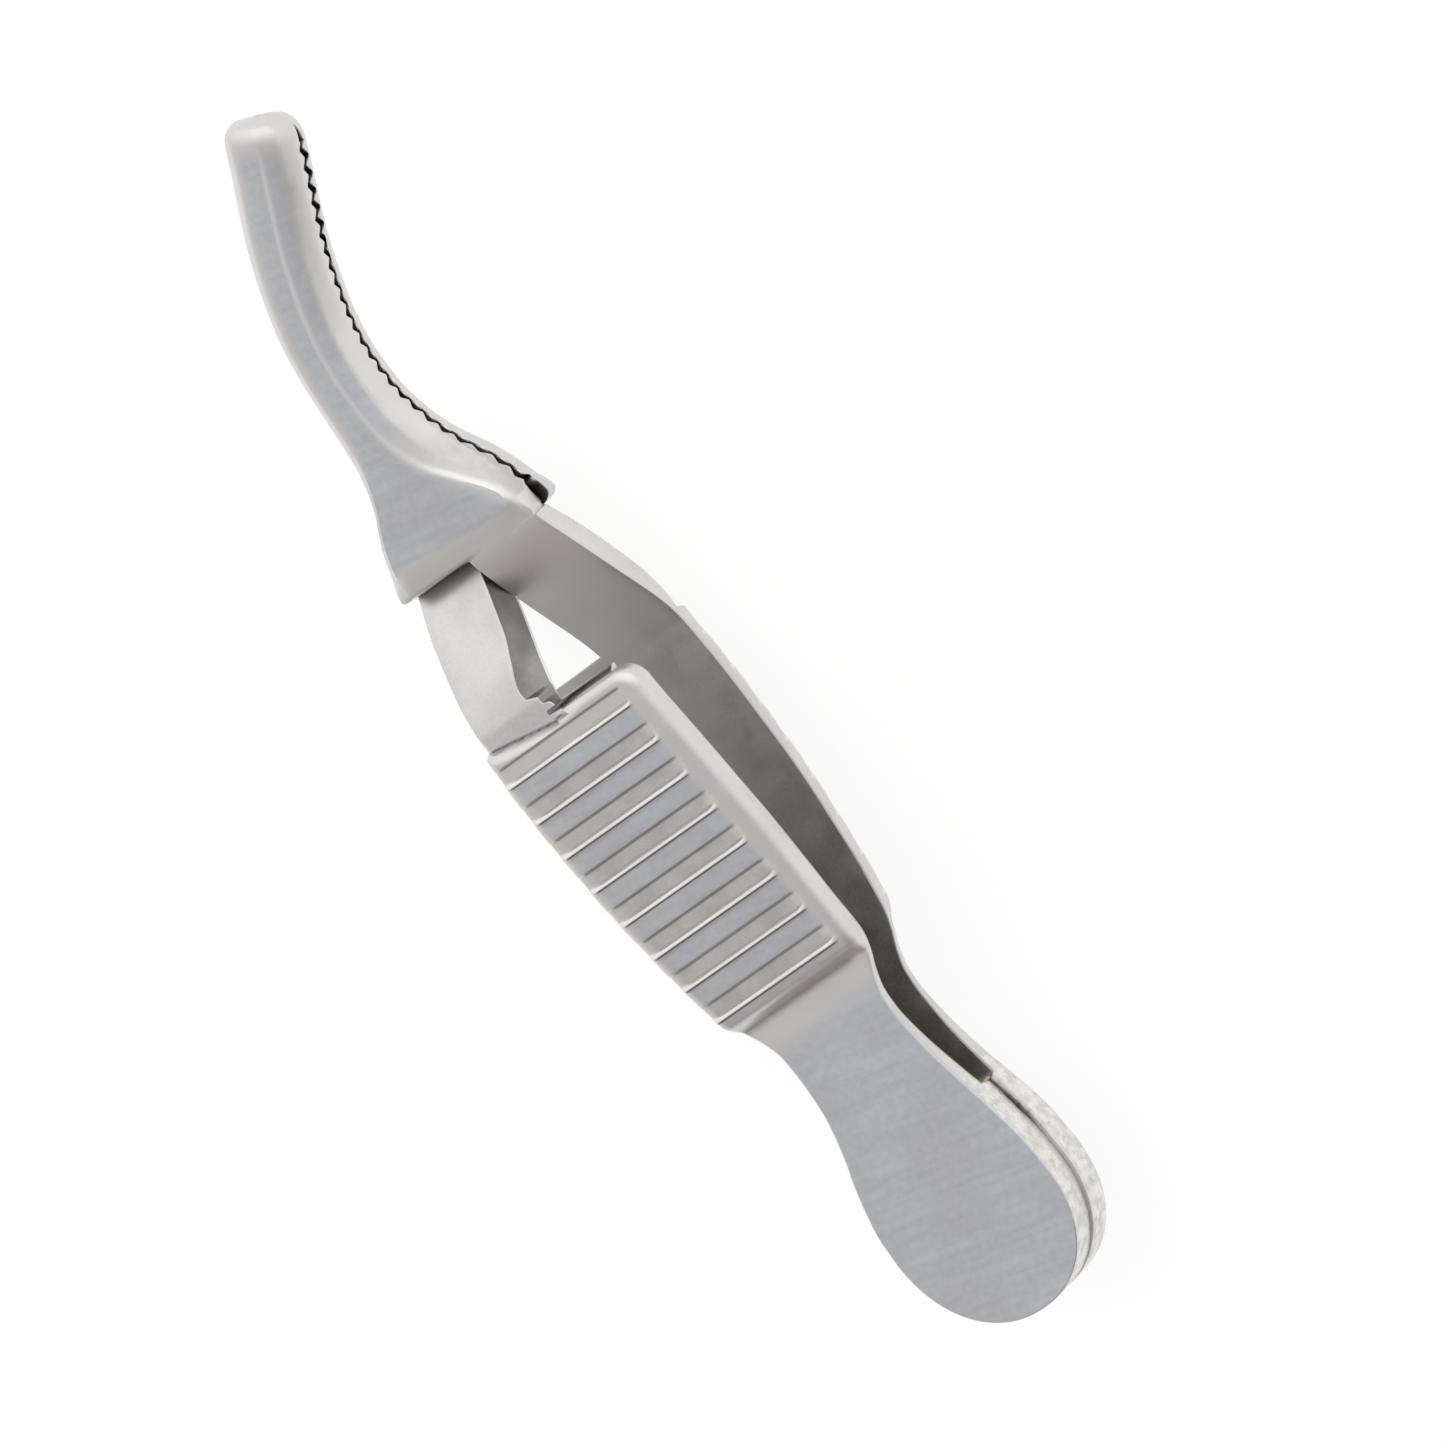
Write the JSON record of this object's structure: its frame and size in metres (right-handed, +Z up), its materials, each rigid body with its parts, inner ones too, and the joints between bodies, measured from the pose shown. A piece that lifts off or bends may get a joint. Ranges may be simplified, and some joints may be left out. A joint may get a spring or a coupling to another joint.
{
  "type": "bulldog clamp",
  "caption": "Small sprung steel clamp with a round tail, ribbed squeeze plates, crossing stems and curved saw-toothed jaws that open when squeezed.",
  "frame": {"origin": "under the middle of the clamp's box, at the height of the lower grip plate's lowest face", "axes": "+Y from the round tail to the jaws, +Z up through the two grip plates, +X to the side that the jaws bend to"},
  "size_m": [0.0088, 0.05, 0.0056],
  "materials": {
    "satin_steel": "satin stainless steel with fine brushing",
    "ribbed_steel": "satin stainless steel with pressed cross grooves",
    "braze_alloy": "dull brownish braze line"
  },
  "bodies": {
    "tail": {"tail_pad_upper": "satin_steel", "tail_pad_lower": "satin_steel", "braze_seam": "braze_alloy"},
    "upper_arm": {"spring_neck_upper": "satin_steel", "grip_plate_upper": "ribbed_steel", "crossing_stem_upper": "satin_steel", "jaw_lower": "satin_steel"},
    "lower_arm": {"spring_neck_lower": "satin_steel", "grip_plate_lower": "ribbed_steel", "crossing_stem_lower": "satin_steel", "jaw_upper": "satin_steel"}
  },
  "joints": [
    {"name": "upper_flex", "type": "hinge", "parent": "tail", "child": "upper_arm", "pos_m": [-0.00036, -0.01439, 0.0038], "axis": [-1, 0, 0], "range_deg": [0, 5], "stiffness_Nm_per_rad": 0.05, "springref_deg": -8.59},
    {"name": "lower_flex", "type": "hinge", "parent": "tail", "child": "lower_arm", "pos_m": [-0.00036, -0.01439, 0.0018], "axis": [1, 0, 0], "range_deg": [0, 5], "stiffness_Nm_per_rad": 0.05, "springref_deg": -8.59}
  ],
  "couplings": [
    {"joint": "lower_flex", "follows": "upper_flex", "ratio": 1}
  ]
}
